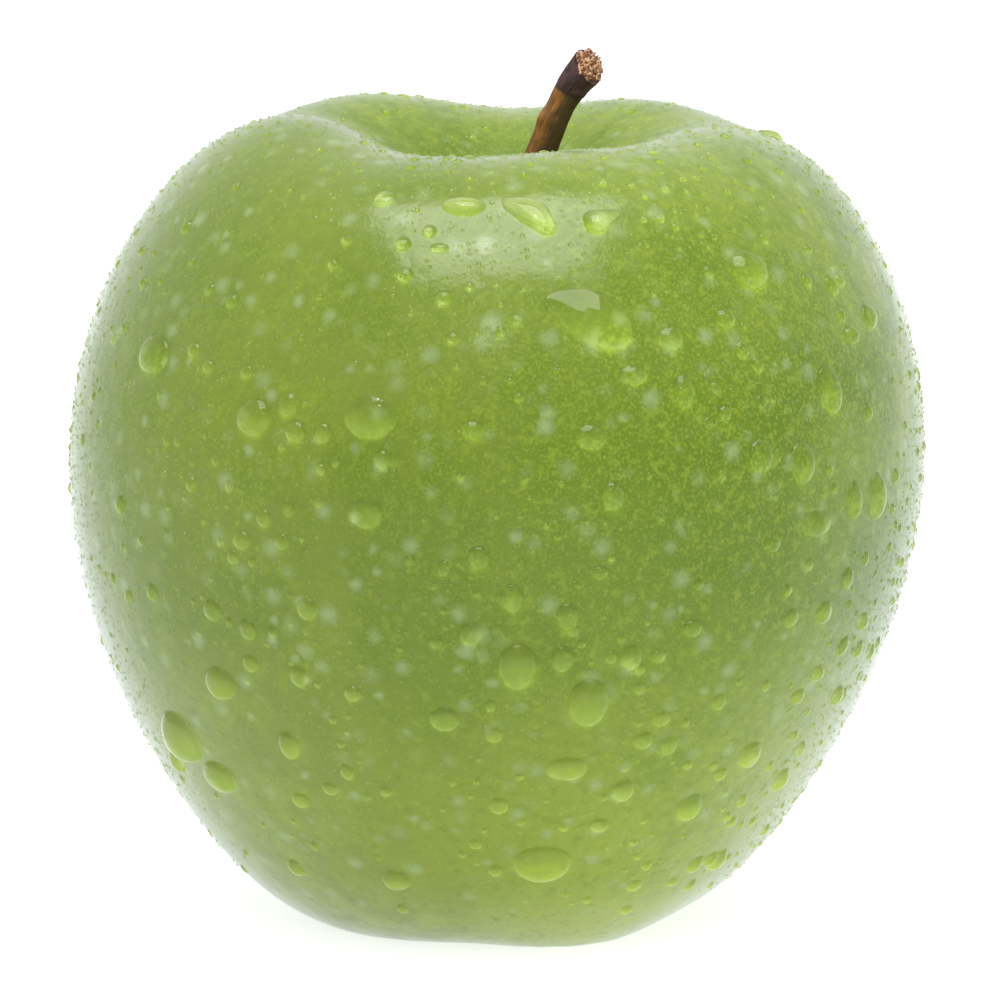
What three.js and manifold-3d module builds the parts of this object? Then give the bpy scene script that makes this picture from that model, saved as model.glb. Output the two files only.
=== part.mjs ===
// A green apple at rest: the fruit, its woody stem and the withered calyx in the basin below.
// Millimetres, +Z up. The fruit stands on z = 0, with the middle of its outline over the origin.
// "turn" is an angle about +Z, in degrees from +X: 270 is the side that faces -Y.
// "along" is a place on the outline: 0 at the foot of the stem, 1 at the eye underneath.
import * as THREE from 'three';
import { mergeVertices } from 'three/addons/utils/BufferGeometryUtils.js';
import Module from 'manifold-3d';

const wasm = await Module();
wasm.setup();

// ---------------------------------------------------------------- driving dimensions

// Half section of the fruit: [radius, height] control points of a cubic B-spline.
const OUTLINE = [
  [0.0, 62.0], [2.6, 63.2], [6.6, 67.6], [11.5, 71.6], [17.0, 74.0], [23.4, 73.9],
  [30.0, 70.8], [36.0, 62.8], [39.8, 51.5], [40.3, 40.0], [37.6, 27.0], [31.6, 14.8],
  [25.0, 5.4], [19.0, 0.5], [13.8, -0.6], [9.5, 2.2], [6.0, 6.0], [0.0, 7.6],
];
const EQUATOR = 0.5;      // along: shoulders rise above it, ribs and feet show below it
const RINGS = 34;         // steps of the skin from the stem to the eye
const SECTORS = 64;       // steps of the skin once round

// The fruit isn't quite round. Each swelling is [turn, strength, half width in degrees].
const RIBS = [[298, 1.0, 36], [8, 0.8, 36], [78, 1.0, 36], [146, 0.8, 36], [198, 1.3, 44]];
const SHOULDERS = [[50, 1.4, 40], [132, 2.0, 48], [198, 2.3, 46], [338, 1.2, 44], [292, 0.6, 34]];
const FEET = [[300, 0.8, 38], [10, 0.6, 36], [80, 0.7, 36], [150, 0.6, 36], [224, 0.35, 40]];
const CROWN = { radius: 20, width: 11 };          // ring of the shoulders
const SOLE = { radius: 17, width: 8 };            // ring of the feet
const RIB = { above: 0.006, below: 0.020 };       // share of the radius that a rib adds
const RIB_FADE = { from: 0.45, to: 0.80 };        // along: where ribs grow to their full size
const LEAN = 1.2;         // the core drifts this far to +X over CORE_HEIGHT
const BOW = 0.15;         // and bows this far to +X at both ends
const CORE_HEIGHT = 75;
const CORE_RADIUS = 8;    // swellings fade out inside this, so the outline closes on the axis
const CORE = { x: -0.721, y: -0.111 };            // foot of the core line, from the origin

// Water drops: [turn, along, width, length, height] of the larger ones on the -Y side.
const DROPS = [
  [215, 0.446, 4.6, 3.8, 0.9], [236, 0.467, 3.7, 3.5, 0.8], [214, 0.621, 5.6, 5.6, 1.4],
  [228, 0.589, 3.6, 3.5, 0.9], [220, 0.638, 4.4, 3.5, 0.9], [273, 0.572, 3.6, 4.7, 1.1],
  [283, 0.589, 3.9, 5.0, 1.2], [272, 0.542, 2.2, 2.7, 0.6], [279, 0.675, 5.4, 4.6, 1.1],
  [281, 0.620, 3.8, 2.7, 0.6], [251, 0.690, 2.8, 2.5, 0.7], [313, 0.623, 2.6, 2.9, 0.7],
  [304, 0.647, 2.6, 3.2, 0.7], [320, 0.561, 2.4, 2.4, 0.6], [316, 0.520, 4.0, 2.6, 0.7],
  [313, 0.491, 3.2, 4.0, 0.9], [306, 0.485, 2.9, 3.2, 0.7], [324, 0.513, 2.3, 3.6, 0.7],
  [330, 0.514, 2.8, 4.4, 0.8], [320, 0.460, 3.2, 4.6, 0.8], [335, 0.432, 2.8, 2.4, 0.6],
  [310, 0.397, 4.2, 4.0, 1.0], [295, 0.453, 2.1, 3.3, 0.7], [294, 0.428, 2.5, 2.3, 0.6],
  [283, 0.417, 7.4, 5.8, 0.7], [263, 0.345, 4.0, 2.4, 0.6], [275, 0.354, 4.6, 4.4, 0.8],
  [286, 0.361, 3.6, 2.6, 0.6], [263, 0.596, 2.8, 2.5, 0.6], [253, 0.506, 3.3, 2.8, 0.5],
  [253, 0.463, 4.8, 3.7, 0.5], [238, 0.614, 2.2, 3.0, 0.7], [288, 0.444, 2.7, 1.9, 0.5],
  [282, 0.471, 2.8, 2.2, 0.5],
];
// The rest of the fruit is just as wet: these are scattered over the other sides.
const SCATTER = { count: 40, fromTurn: 370, toTurn: 530, fromAlong: 0.31, toAlong: 0.70 };
const SCATTER_SIZE = { least: 2.2, most: 5.0, height: 0.24 };
const SCATTER_STRETCH = { from: 0.90, to: 1.25 };         // length over width
const SCATTER_SEED = 20266;
const GOLDEN = 0.618034;         // each next drop lies this share of the way round
const DROP_ROOT = 2.0;           // depth of a drop's root in the fruit
const DROP_SINK = 0.15;          // depth of its edge below the skin
// Rings of a dome between its edge and its top: [share of the radius, share of the height].
const BIG_DROP = { over: 3.5, sides: 8, dome: [[0.90, 0.38], [0.56, 0.82]] };
const SMALL_DROP = { sides: 7, dome: [[0.75, 0.62]] };
const TURN_STEP = 0.5;           // steps that measure the slope of the skin
const ALONG_STEP = 0.002;

// Stem: centre line [x, y, z] from its foot in the fruit to its broken tip, at CORE.
const STEM_PATH = [
  [1.4, 0, 59.4], [2.0, 0, 62.9], [3.2, 0, 67.6], [4.8, 0, 72.2], [6.5, 0, 76.2], [7.8, 0, 78.4],
  [9.2, 0, 80.1],
];
// Its radius: [share of the length, radius].
const STEM_RADII = [
  [0, 1.75], [0.2, 1.62], [0.4, 1.5], [0.62, 1.4], [0.8, 1.28], [0.9, 1.45], [1, 1.62],
];
const STEM_RINGS = 15;
const STEM_SIDES = 12;
const STEM_RIDGES = { count: 3, rise: 0.05, twist: 200 };                // lengthwise ridges
const STEM_SCAR = { share: 0.68, turn: 200, rise: 0.32, length: 0.07, half: 50 };
const STEM_BREAK = { faces: 290, slope: 0.7, jag: 0.3, jags: 4 };        // the torn end
// Splinters at the tip: [turn, distance from the centre line, length past the tip].
const SPLINTERS = [[150, 0.75, 1.2], [205, 0.8, 1.0], [95, 0.7, 0.8], [255, 0.7, 0.6]];
const SPLINTER = { radius: 0.42, root: 2.0, sides: 5 };

// Calyx: five dry sepals round a short tube, hung in the eye.
const EYE = { height: 7.0, tubeRadius: 2.5, tubeLength: 2.8, recess: 1.0, wall: 0.7, lip: 0.5 };
const SEPAL = { count: 5, turn: 20, width: 2.7, thick: 0.6, taper: 0.85, point: 1.6, cup: 1.6 };
const SEPAL_STEPS = { across: 2, along: 6 };
// Centre line of a sepal: [distance from the core, depth below the eye].
const SEPAL_PATH = [[1.6, -0.3], [1.85, 0.8], [1.45, 2.2], [1.9, 3.4], [3.3, 4.1], [4.6, 3.5]];
const STAMEN = { count: 7, sides: 4, top: 0.25, tip: 0.12, length: 3.4, out: 0.5, splay: 0.16 };
const SOCKET = { sides: 18, reach: 8 };   // sockets run past the skin by this reach
const GAP = 0.3;                 // clear space left round a piece that stands in the fruit
const GROUND_SIZE = 200;         // everything below this block's lower face is cut away

const COLOURS = { apple: 0x86a548, stem: 0x5f4a26, calyx: 0x6a5a3c };

// ---------------------------------------------------------------- the fruit's rule

const { degToRad, smoothstep, lerp } = THREE.MathUtils;

/** Sum of raised cosine swellings at a turn. */
function swell(turn, swellings) {
  return swellings.reduce((sum, [centre, strength, half]) => {
    const away = Math.abs(THREE.MathUtils.euclideanModulo(turn - centre + 180, 360) - 180);
    const q = Math.min(away / half, 1);
    return sum + strength * (0.5 + 0.5 * Math.cos(Math.PI * q));
  }, 0);
}

/** Radius and height of the plain outline: a cubic B-spline mirrored at both ends on the axis. */
function outline(along) {
  const last = OUTLINE.length - 1;
  const mirrored = ([r, z]) => [-r, z];
  const points = [mirrored(OUTLINE[1]), ...OUTLINE, mirrored(OUTLINE[last - 1])];
  const u = along * last;
  const i = Math.min(Math.floor(u), last - 1);
  const t = u - i;
  const weights = [
    (1 - t) ** 3, 3 * t ** 3 - 6 * t ** 2 + 4, -3 * t ** 3 + 3 * t ** 2 + 3 * t + 1, t ** 3,
  ];
  const value = (k) => weights.reduce((sum, w, j) => sum + w * points[i + j][k], 0) / 6;
  return { radius: value(0), height: value(1) };
}

const bell = (x, centre, width) => Math.exp(-(((x - centre) / width) ** 2));

/** Point on the skin. Its feet may reach below z = 0: they are cut flat there later. */
function skin(along, turn) {
  const { radius, height } = outline(along);
  const upper = along < EQUATOR;
  const rib = lerp(RIB.above, RIB.below, smoothstep(along, RIB_FADE.from, RIB_FADE.to));
  const r = radius * (1 + rib * swell(turn, RIBS));
  const rise = upper
    ? bell(radius, CROWN.radius, CROWN.width) * swell(turn, SHOULDERS)
    : -bell(radius, SOLE.radius, SOLE.width) * swell(turn, FEET);
  const z = height + rise * smoothstep(radius, 0, CORE_RADIUS);
  const up = z / CORE_HEIGHT;
  const a = degToRad(turn);
  return new THREE.Vector3(
    CORE.x + r * Math.cos(a) + LEAN * up + BOW * (2 * up - 1) ** 2,
    CORE.y + r * Math.sin(a),
    z,
  );
}

// ---------------------------------------------------------------- solids

/** A closed geometry as a solid: shared vertices merged, triangles of no area dropped. */
function solid(geometry) {
  geometry.deleteAttribute('normal');
  geometry.deleteAttribute('uv');
  const merged = mergeVertices(geometry);
  const corners = merged.getIndex().array;
  const kept = [];
  for (let i = 0; i < corners.length; i += 3) {
    const [a, b, c] = corners.slice(i, i + 3);
    if (a !== b && b !== c && c !== a) kept.push(a, b, c);
  }
  return new wasm.Manifold(new wasm.Mesh({
    numProp: 3,
    vertProperties: merged.getAttribute('position').array,
    triVerts: new Uint32Array(kept),
  }));
}

/** A solid as a named mesh. */
function mesh(name, body, roughness) {
  const { vertProperties, triVerts } = body.getMesh();
  const geometry = new THREE.BufferGeometry();
  geometry.setAttribute('position', new THREE.BufferAttribute(vertProperties, 3));
  geometry.setIndex(new THREE.BufferAttribute(triVerts, 1));
  geometry.computeVertexNormals();
  const material = new THREE.MeshStandardMaterial({ color: COLOURS[name], roughness, metalness: 0 });
  const result = new THREE.Mesh(geometry, material);
  result.name = name;
  return result;
}

/**
 * A turned shape whose vertices are then moved by place(ring, turn, radius, height).
 * profile holds [radius, height] from the bottom to the top, on the axis at both ends.
 */
function turned(profile, sides, place) {
  const points = profile.map(([r, h]) => new THREE.Vector2(r, h));
  const geometry = new THREE.LatheGeometry(points, sides);
  const position = geometry.getAttribute('position');
  for (let side = 0; side <= sides; side += 1) {
    const turn = (360 * (side % sides)) / sides;
    profile.forEach(([r, h], ring) => {
      const p = place(ring, turn, r, h);
      position.setXYZ(side * profile.length + ring, p.x, p.y, p.z);
    });
  }
  return solid(geometry);
}

/** Point at a turn and radius round an axis through centre. side and front span its plane. */
function around(centre, side, front, turn, radius) {
  const a = degToRad(turn);
  return centre.clone()
    .addScaledVector(side, radius * Math.cos(a))
    .addScaledVector(front, radius * Math.sin(a));
}

/** A straight round bar from one point towards another. */
function bar(from, to, radius, sides) {
  const length = from.distanceTo(to);
  const geometry = new THREE.CylinderGeometry(radius, radius, length, sides);
  geometry.translate(0, length / 2, 0);
  const up = new THREE.Vector3(0, 1, 0);
  const direction = to.clone().sub(from).normalize();
  geometry.applyQuaternion(new THREE.Quaternion().setFromUnitVectors(up, direction));
  geometry.translate(from.x, from.y, from.z);
  return solid(geometry);
}

// ---------------------------------------------------------------- water drops

/** Steady random numbers from 0 to 1. */
function draws(seed) {
  let state = seed;
  return () => {
    state = (Math.imul(state, 1664525) + 1013904223) >>> 0;
    return state / 2 ** 32;
  };
}

/** Axes on the skin: out of it, round it and down it. */
function skinAxes(along, turn) {
  const across = skin(along, turn + TURN_STEP).sub(skin(along, turn - TURN_STEP)).normalize();
  const slope = skin(along + ALONG_STEP, turn).sub(skin(along - ALONG_STEP, turn));
  const out = slope.cross(across).normalize();
  return { out, across, down: across.clone().cross(out) };
}

/** Scattered drops: golden steps round the fruit and even steps down it keep them apart. */
function scatteredDrops() {
  const { count, fromTurn, toTurn, fromAlong, toAlong } = SCATTER;
  const draw = draws(SCATTER_SEED);
  return Array.from({ length: count }, (_, i) => {
    const turn = lerp(fromTurn, toTurn, (i * GOLDEN) % 1);
    const along = lerp(fromAlong, toAlong, (i + draw()) / count);
    const width = lerp(SCATTER_SIZE.least, SCATTER_SIZE.most, draw() ** 2);
    const length = width * lerp(SCATTER_STRETCH.from, SCATTER_STRETCH.to, draw());
    return [turn, along, width, length, width * SCATTER_SIZE.height];
  });
}

/** One drop: a low dome on the skin over a root sunk into the fruit. */
function drop([turn, along, width, length, height]) {
  const { sides, dome } = width > BIG_DROP.over ? BIG_DROP : SMALL_DROP;
  const profile = [
    [0, -DROP_ROOT], [1, -DROP_SINK], ...dome.map(([r, h]) => [r, h * height]), [0, height],
  ];
  const { out, across, down } = skinAxes(along, turn);
  const foot = skin(along, turn);
  const place = (ring, a, r, h) => foot.clone()
    .addScaledVector(out, h)
    .addScaledVector(down, (r * length * Math.cos(degToRad(a))) / 2)
    .addScaledVector(across, (r * width * Math.sin(degToRad(a))) / 2);
  return turned(profile, sides, place);
}

// ---------------------------------------------------------------- the pieces

const stemCurve = new THREE.CatmullRomCurve3(
  STEM_PATH.map(([x, y, z]) => new THREE.Vector3(CORE.x + x, CORE.y + y, z)),
);

/** The fruit: skin turned and swollen by rule, feet cut flat, sockets cut, drops fused on. */
function apple() {
  const profile = Array.from({ length: RINGS + 1 }, (_, i) => {
    const along = 1 - i / RINGS;
    return [outline(along).radius, outline(along).height];
  });
  const place = (ring, turn) => skin(1 - ring / RINGS, turn);
  const flesh = turned(profile, SECTORS, place);
  const wet = wasm.Manifold.union([flesh, ...[...DROPS, ...scatteredDrops()].map(drop)]);

  const above = new THREE.BoxGeometry(GROUND_SIZE, GROUND_SIZE, GROUND_SIZE);
  above.translate(0, 0, GROUND_SIZE / 2);
  const standing = wet.intersect(solid(above));

  const foot = stemCurve.getPointAt(0);
  const heading = stemCurve.getTangentAt(0);
  const stemSocket = bar(
    foot.clone().addScaledVector(heading, -GAP),
    foot.clone().addScaledVector(heading, SOCKET.reach),
    STEM_RADII[0][1] + 2 * GAP,
    SOCKET.sides,
  );
  const eyeSocket = bar(
    new THREE.Vector3(CORE.x, CORE.y, EYE.height - SOCKET.reach),
    new THREE.Vector3(CORE.x, CORE.y, EYE.height + EYE.tubeLength + GAP),
    EYE.tubeRadius + GAP,
    SOCKET.sides,
  );
  return standing.subtract(stemSocket).subtract(eyeSocket);
}

/** Radius of the stem at a share of its length. */
function stemRadius(share) {
  const i = Math.max(1, STEM_RADII.findIndex(([s]) => s >= share));
  const [[s0, r0], [s1, r1]] = [STEM_RADII[i - 1], STEM_RADII[i]];
  return lerp(r0, r1, (share - s0) / (s1 - s0));
}

/** The stem: a bent woody stalk with a bud scar, a thicker collar and a torn end. */
function stem() {
  const front = new THREE.Vector3(0, 1, 0);
  const profile = [[0, 0]];
  for (let i = 0; i <= STEM_RINGS; i += 1) profile.push([1, i / STEM_RINGS]);
  profile.push([0, 1]);
  const place = (ring, turn, r, share) => {
    const tangent = stemCurve.getTangentAt(share);
    const side = front.clone().cross(tangent).normalize();
    const wave = degToRad(STEM_RIDGES.count * turn + STEM_RIDGES.twist * share);
    const ridge = 1 + STEM_RIDGES.rise * Math.cos(wave);
    const scar = bell(share, STEM_SCAR.share, STEM_SCAR.length)
      * swell(turn, [[STEM_SCAR.turn, STEM_SCAR.rise, STEM_SCAR.half]]);
    const radius = r * (stemRadius(share) * ridge + scar);
    const point = around(stemCurve.getPointAt(share), side, front, turn, radius);
    const torn = ring >= STEM_RINGS + 1
      ? -STEM_BREAK.slope * r * Math.cos(degToRad(turn - STEM_BREAK.faces))
        + STEM_BREAK.jag * r * Math.sin(degToRad(STEM_BREAK.jags * turn))
      : 0;
    return point.addScaledVector(tangent, torn);
  };
  const stalk = turned(profile, STEM_SIDES, place);

  const tip = stemCurve.getPointAt(1);
  const tangent = stemCurve.getTangentAt(1);
  const side = front.clone().cross(tangent).normalize();
  const splinters = SPLINTERS.map(([turn, out, length]) => {
    const whole = SPLINTER.root + length;
    const geometry = new THREE.ConeGeometry(SPLINTER.radius, whole, SPLINTER.sides);
    geometry.translate(0, whole / 2 - SPLINTER.root, 0);
    geometry.applyQuaternion(new THREE.Quaternion().setFromUnitVectors(front, tangent));
    const foot = around(tip, side, front, turn, out);
    geometry.translate(foot.x, foot.y, foot.z);
    return solid(geometry);
  });
  return wasm.Manifold.union([stalk, ...splinters]);
}

/** One dry sepal: a tapering blade that leans over the eye and curls out at its tip. */
function sepal(turn) {
  const path = new THREE.CatmullRomCurve3(SEPAL_PATH.map(([x, d]) => new THREE.Vector3(x, 0, -d)));
  const geometry = new THREE.BoxGeometry(1, 1, 1, SEPAL_STEPS.across, SEPAL_STEPS.along, 1);
  const position = geometry.getAttribute('position');
  const across = new THREE.Vector3(0, 1, 0);
  for (let i = 0; i < position.count; i += 1) {
    const share = position.getY(i) + 0.5;
    const sideways = position.getX(i);
    const centre = path.getPointAt(share);
    const outward = across.clone().cross(path.getTangentAt(share)).normalize();
    const width = SEPAL.width * (1 - SEPAL.taper * share ** SEPAL.point);
    const cup = -SEPAL.cup * sideways ** 2 * (1 - share);
    const p = centre
      .addScaledVector(across, sideways * width)
      .addScaledVector(outward, position.getZ(i) * SEPAL.thick + cup);
    position.setXYZ(i, p.x, p.y, p.z);
  }
  geometry.rotateZ(degToRad(turn));
  return solid(geometry);
}

/** The calyx: tube, sepals and stamen stubs in one body. */
function calyx() {
  const { tubeRadius, tubeLength, recess, wall, lip } = EYE;
  const profile = [
    [0, recess], [tubeRadius - wall, recess], [tubeRadius - wall, -lip], [tubeRadius, -lip],
    [tubeRadius, tubeLength], [0, tubeLength],
  ];
  const level = (ring, turn, r, h) => new THREE.Vector3(
    r * Math.cos(degToRad(turn)), r * Math.sin(degToRad(turn)), h,
  );
  const pieces = [turned(profile, SOCKET.sides, level)];
  for (let i = 0; i < SEPAL.count; i += 1) pieces.push(sepal(SEPAL.turn + (360 * i) / SEPAL.count));
  for (let i = 0; i < STAMEN.count; i += 1) {
    const { top, tip, length, sides, splay, out } = STAMEN;
    const geometry = new THREE.CylinderGeometry(top, tip, length, sides);
    geometry.rotateX(Math.PI / 2).translate(0, 0, recess + lip - length / 2);
    geometry.rotateY(-splay).translate(out, 0, 0);
    geometry.rotateZ(degToRad((360 * i) / STAMEN.count));
    pieces.push(solid(geometry));
  }
  return wasm.Manifold.union(pieces).translate([CORE.x, CORE.y, EYE.height]);
}

// ---------------------------------------------------------------- assembly

const group = new THREE.Group();
group.add(mesh('apple', apple(), 0.35));
group.add(mesh('stem', stem(), 0.85));
group.add(mesh('calyx', calyx(), 0.9));

export default group;
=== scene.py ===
# %% [markdown]
# # A green apple after the rain
# The apple arrives as three plain solids in one shared frame: the fruit, its stem and the dry calyx
# in the hollow underneath. This lesson gives each of them a finished surface, wets the skin with
# drops and sets up a bright, soft studio. Every cell makes one thing and prints what it made.

# %% Load the frame
import math
import bpy
import numpy as np
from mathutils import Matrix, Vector


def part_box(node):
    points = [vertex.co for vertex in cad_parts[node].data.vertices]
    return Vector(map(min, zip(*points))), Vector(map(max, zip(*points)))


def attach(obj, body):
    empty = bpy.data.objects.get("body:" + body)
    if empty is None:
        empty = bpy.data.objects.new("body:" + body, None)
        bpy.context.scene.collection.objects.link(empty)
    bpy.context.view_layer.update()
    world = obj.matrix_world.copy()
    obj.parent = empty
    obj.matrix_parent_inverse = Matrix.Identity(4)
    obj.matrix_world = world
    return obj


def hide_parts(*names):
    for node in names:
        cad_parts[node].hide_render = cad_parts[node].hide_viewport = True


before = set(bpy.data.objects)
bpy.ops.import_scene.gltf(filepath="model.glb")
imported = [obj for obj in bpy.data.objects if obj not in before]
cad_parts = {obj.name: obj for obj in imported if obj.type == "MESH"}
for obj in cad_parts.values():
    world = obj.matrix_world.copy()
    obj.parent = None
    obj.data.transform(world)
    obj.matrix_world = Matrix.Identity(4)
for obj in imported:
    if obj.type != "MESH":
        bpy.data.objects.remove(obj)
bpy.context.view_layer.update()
print("nodes in the frame:", sorted(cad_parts))

# %% [markdown]
# The fruit's shape is a rule, so the same few numbers that shape the solid also shape the fine skin.
# The rule is written in millimetres. One of its millimetres is measured on the frame: if the solid
# is ever made larger or smaller, everything here follows it.

# %% Scale of the rule
RULE_HEIGHT = 76.131          # height of the rule's fruit, in its own millimetres
low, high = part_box("apple")
MM = (high.z - low.z) / RULE_HEIGHT
CORE = Vector((-0.721, -0.111, 0.0))     # foot of the core line, from the origin, in millimetres
print(f"the fruit stands {1000 * (high.z - low.z):.1f} mm high; one rule millimetre is {MM:.6f} m")

# %% [markdown]
# Node trees are easier to read as sums than as screens full of links. This small helper adds a node,
# wires its inputs by name and hands back one output, so a tree can be written as nested calls.

# %% A helper for node trees
class Net:
    """A node tree being written. A value is a number, a colour or another node's output."""

    def __init__(self, tree):
        self.tree = tree

    def socket(self, sockets, key):
        shown = [s for s in sockets if s.enabled]
        return shown[key] if isinstance(key, int) else next(s for s in shown if s.name == key)

    def feed(self, socket, value):
        if isinstance(value, bpy.types.NodeSocket):
            self.tree.links.new(value, socket)
        else:
            socket.default_value = value

    def add(self, kind, wires=None, out=0, **settings):
        node = self.tree.nodes.new(kind)
        for key, value in settings.items():
            setattr(node, key, value)
        for key, value in (wires or {}).items():
            self.feed(self.socket(node.inputs, key), value)
        return self.socket(node.outputs, out)

    def math(self, operation, *values):
        return self.add("ShaderNodeMath", dict(enumerate(values)), operation=operation)

    def plus(self, total, *others):
        for other in others:
            total = self.math("ADD", total, other)
        return total

    def minus(self, first, second):
        return self.math("SUBTRACT", first, second)

    def times(self, total, *others):
        for other in others:
            total = self.math("MULTIPLY", total, other)
        return total

    def vector(self, operation, *values, out=0):
        return self.add("ShaderNodeVectorMath", dict(enumerate(values)), out, operation=operation)

    def dot(self, first, second):
        return self.vector("DOT_PRODUCT", first, second, out="Value")

    def stretch(self, vector, factor):
        return self.add("ShaderNodeVectorMath", {"Vector": vector, "Scale": factor}, operation="SCALE")

    def ramp(self, value, start, end, first=0.0, last=1.0):
        """Runs smoothly from first to last while value goes from start to end."""
        wires = {"Value": value, "From Min": start, "From Max": end, "To Min": first, "To Max": last}
        return self.add("ShaderNodeMapRange", wires, interpolation_type="SMOOTHSTEP")

    def noise(self, vector, scale, detail, out="Fac"):
        return self.add("ShaderNodeTexNoise", {"Vector": vector, "Scale": scale, "Detail": detail}, out)

    def bell(self, value, centre, width):
        """exp(-((value - centre) / width) ** 2)"""
        away = self.math("DIVIDE", self.minus(value, centre), width)
        return self.math("EXPONENT", self.times(away, away, -1.0))

    def parts(self, vector):
        return tuple(self.add("ShaderNodeSeparateXYZ", {0: vector}).node.outputs)

    def join(self, x, y, z):
        return self.add("ShaderNodeCombineXYZ", {"X": x, "Y": y, "Z": z})

    def on_ring(self, angle, radius, z):
        """The point at this angle on a ring."""
        return self.join(self.times(self.math("COSINE", angle), radius),
                         self.times(self.math("SINE", angle), radius), z)


# %% [markdown]
# Geometry Nodes suit whatever follows a rule: the tree keeps its sizes as named inputs, and the same
# tree can be run again with others. When it has run, the result is kept as a plain mesh.

# %% A helper for shapes made by nodes
SOCKET_KINDS = {float: "NodeSocketFloat", int: "NodeSocketInt", Vector: "NodeSocketVector",
                bpy.types.Object: "NodeSocketObject", bpy.types.Material: "NodeSocketMaterial"}


def titled(wires):
    """Argument names as Blender writes its sockets: fill_caps becomes Fill Caps."""
    return {key.replace("_", " ").title(): value for key, value in wires.items()}


class Shaper(Net):
    """A Geometry Nodes tree with named inputs and their values."""

    def __init__(self, name, **values):
        super().__init__(bpy.data.node_groups.new(name, "GeometryNodeTree"))
        self.name = name
        self.values = {}
        self.entry = self.tree.nodes.new("NodeGroupInput")
        self.tree.interface.new_socket("Start", in_out="INPUT", socket_type="NodeSocketGeometry")
        self.tree.interface.new_socket("Result", in_out="OUTPUT", socket_type="NodeSocketGeometry")
        for key, value in values.items():
            kind = next(k for t, k in SOCKET_KINDS.items() if isinstance(value, t))
            label = key.replace("_", " ").capitalize()
            item = self.tree.interface.new_socket(label, in_out="INPUT", socket_type=kind)
            self.values[item.identifier] = value
            setattr(self, key, self.entry.outputs[label])
        self.start = self.entry.outputs["Start"]
        self.position = self.add("GeometryNodeInputPosition")
        self.normal = self.add("GeometryNodeInputNormal")

    def stored(self, name, kind="FLOAT"):
        return self.add("GeometryNodeInputNamedAttribute", {"Name": name}, data_type=kind)

    def store(self, geometry, name, value, kind="FLOAT", domain="POINT"):
        wires = {"Geometry": geometry, "Name": name, "Value": value}
        return self.add("GeometryNodeStoreNamedAttribute", wires, data_type=kind, domain=domain)

    def object(self, item):
        return self.add("GeometryNodeObjectInfo", {"Object": item}, "Geometry")

    def move(self, geometry, **wires):
        return self.add("GeometryNodeSetPosition", {"Geometry": geometry, **titled(wires)})

    def place(self, geometry, **wires):
        return self.add("GeometryNodeTransform", {"Geometry": geometry, **titled(wires)})

    def instances(self, points, instance, **wires):
        wires = {"Points": points, "Instance": instance, **titled(wires)}
        return self.add("GeometryNodeInstanceOnPoints", wires)

    def real(self, geometry):
        return self.add("GeometryNodeRealizeInstances", {"Geometry": geometry})

    def merge(self, *parts):
        node = self.tree.nodes.new("GeometryNodeJoinGeometry")
        for part in parts:
            self.tree.links.new(part, node.inputs[0])
        return node.outputs[0]

    def shake(self, scale, detail):
        """A noise vector round zero, up to half a unit each way."""
        return self.vector("SUBTRACT", self.noise(self.position, scale, detail, "Color"), (0.5, 0.5, 0.5))

    def finish(self, geometry, material):
        """Ends the tree: real faces, smooth, with their material."""
        smooth = self.add("GeometryNodeSetShadeSmooth", {"Geometry": self.real(geometry)})
        done = self.add("GeometryNodeSetMaterial", {"Geometry": smooth, "Material": material})
        exit_node = self.tree.nodes.new("NodeGroupOutput")
        self.tree.links.new(done, exit_node.inputs["Result"])


# %% [markdown]
# A tree does nothing until a modifier runs it on an object. The result is copied into a plain mesh
# and the modifier goes, so that what is kept no longer depends on the tree.

# %% Running a tree and keeping its mesh
def in_scene(name, data):
    """An object at the origin that shows this data."""
    made = bpy.data.objects.new(name, data)
    bpy.context.scene.collection.objects.link(made)
    return made


def object_from(name, points, edges=(), faces=()):
    mesh = bpy.data.meshes.new(name)
    mesh.from_pydata([tuple(p) for p in points], edges, faces)
    return in_scene(name, mesh)


def line_object(name, points):
    return object_from(name, points, [(i, i + 1) for i in range(len(points) - 1)])


def run(shaper, piece, material):
    """Runs a finished tree on a piece and keeps the result as its plain mesh."""
    modifier = piece.modifiers.new(shaper.name, "NODES")
    modifier.node_group = shaper.tree
    for identifier, value in shaper.values.items():
        modifier[identifier] = value
    view = bpy.context.evaluated_depsgraph_get()
    mesh = bpy.data.meshes.new_from_object(piece.evaluated_get(view), depsgraph=view)
    piece.modifiers.clear()
    piece.data = mesh
    mesh.materials.clear()
    mesh.materials.append(material)
    mesh.validate()
    print(f"{piece.name}: {sum(len(p.vertices) - 2 for p in mesh.polygons)} triangles")
    return piece


# %% [markdown]
# Every finish here ends in the same kind of surface, and most read the same few things: where the
# point lies on its piece, a value stored on the mesh, a bump. Each of those gets a short name.

# %% Helpers for materials
def material_named(name):
    """An empty node material and the Net that fills it."""
    material = bpy.data.materials.new(name)
    material.use_nodes = True
    material.node_tree.nodes.clear()
    return material, Net(material.node_tree)


def surface(net, **sockets):
    """Ends a material with a Principled surface. Underscores in a name stand for spaces."""
    node = net.tree.nodes.new("ShaderNodeBsdfPrincipled")
    for key, value in sockets.items():
        net.feed(node.inputs[key.replace("_", " ")], value)
    exit_node = net.tree.nodes.new("ShaderNodeOutputMaterial")
    net.tree.links.new(node.outputs[0], exit_node.inputs["Surface"])
    return node.outputs[0]


def shaded_spot(net):
    """The point being shaded, in rule millimetres."""
    return net.stretch(net.add("ShaderNodeTexCoord", out="Object"), 1 / MM)


def attribute(net, name):
    return net.add("ShaderNodeAttribute", out="Fac", attribute_name=name)


def relief(net, strength, depth, height):
    """A bump of this depth, in rule millimetres, where the height runs from 0 to 1."""
    return net.add("ShaderNodeBump", {"Strength": strength, "Distance": depth * MM, "Height": height})


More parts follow.
